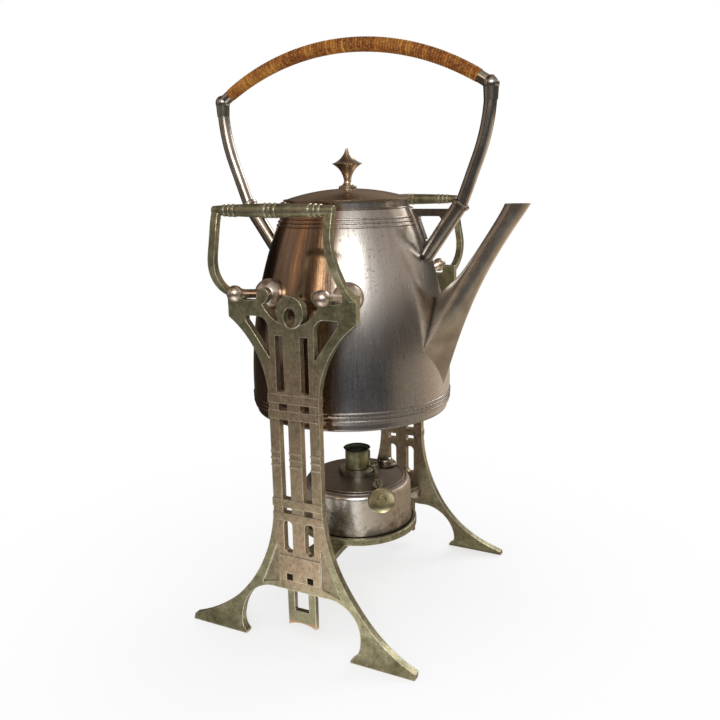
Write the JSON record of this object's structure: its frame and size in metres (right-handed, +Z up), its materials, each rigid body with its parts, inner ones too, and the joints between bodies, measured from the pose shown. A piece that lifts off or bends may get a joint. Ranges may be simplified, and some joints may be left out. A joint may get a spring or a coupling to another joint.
{
  "type": "spirit kettle on stand",
  "caption": "Tilting metal kettle with hinged lid and cane-wound handle, hung by ball pins between two pierced cast frames over a spirit lamp.",
  "frame": {"origin": "on the table under the middle of the stand", "axes": "+X towards the spout, Y from one side frame to the other, +Z up"},
  "size_m": [0.2207, 0.2028, 0.3731],
  "materials": {
    "patinated_casting": "worn nickel over brass, greenish and dull",
    "nickel_plate": "worn polished nickel with tarnish",
    "bright_metal": "polished",
    "yellow_brass": "dull",
    "cane": "varnished cane winding",
    "wick_cotton": "woven cotton, charred at the top"
  },
  "bodies": {
    "stand": {"near_side_frame": "patinated_casting", "far_side_frame": "patinated_casting", "lamp_bridge": "patinated_casting", "bridge_screws": "bright_metal", "lamp_tray": "patinated_casting", "tray_rivets": "patinated_casting"},
    "kettle": {"kettle_shell": "nickel_plate", "kettle_base": "nickel_plate", "spout": "nickel_plate", "right_bracket": "nickel_plate", "left_bracket": "nickel_plate", "right_ferrule": "nickel_plate", "left_ferrule": "nickel_plate", "right_upright": "nickel_plate", "left_upright": "nickel_plate", "right_knuckle": "nickel_plate", "left_knuckle": "nickel_plate", "grip_core": "nickel_plate", "cane_wrap": "cane", "pin_front_near": "bright_metal", "pin_front_far": "bright_metal", "pin_back_near": "bright_metal", "pin_back_far": "bright_metal", "boss_front_near": "nickel_plate", "boss_front_far": "nickel_plate", "boss_back_near": "nickel_plate", "boss_back_far": "nickel_plate", "hinge_leaf": "nickel_plate", "hinge_pin": "bright_metal"},
    "lid": {"lid": "nickel_plate", "finial": "nickel_plate"},
    "lamp": {"lamp_reservoir": "nickel_plate", "filler_neck": "nickel_plate", "burner": "yellow_brass", "wick_tube": "yellow_brass", "wick": "wick_cotton", "spindle_post": "yellow_brass"},
    "regulator": {"spindle": "yellow_brass", "knob": "yellow_brass"},
    "sleeve": {"sleeve": "yellow_brass"},
    "filler_cap": {"filler_cap": "nickel_plate"}
  },
  "joints": [
    {"name": "pour_tilt", "type": "hinge", "parent": "stand", "child": "kettle", "pos_m": [0.026, 0, 0.222], "axis": [0, 1, 0], "range_deg": [0, 42]},
    {"name": "lid_hinge", "type": "hinge", "parent": "kettle", "child": "lid", "pos_m": [-0.048, 0, 0.271], "axis": [0, -1, 0], "range_deg": [0, 74]},
    {"name": "lamp_lift", "type": "slide", "parent": "stand", "child": "lamp", "axis": [0, 0, 1], "range_m": [0, 0.016]},
    {"name": "regulator_turn", "type": "hinge", "parent": "lamp", "child": "regulator", "pos_m": [0.01048, 0.00605, 0.0896], "axis": [-0.5, 0.866, 0], "range_deg": [0, 190]},
    {"name": "sleeve_slide", "type": "slide", "parent": "lamp", "child": "sleeve", "axis": [0, 0, 1], "range_m": [0, 0.0081]},
    {"name": "cap_lift", "type": "slide", "parent": "lamp", "child": "filler_cap", "axis": [0, 0, 1], "range_m": [0, 0.014]}
  ],
  "couplings": [
    {"joint": "sleeve_slide", "follows": "regulator_turn", "m_per_rad": 0.0024}
  ]
}
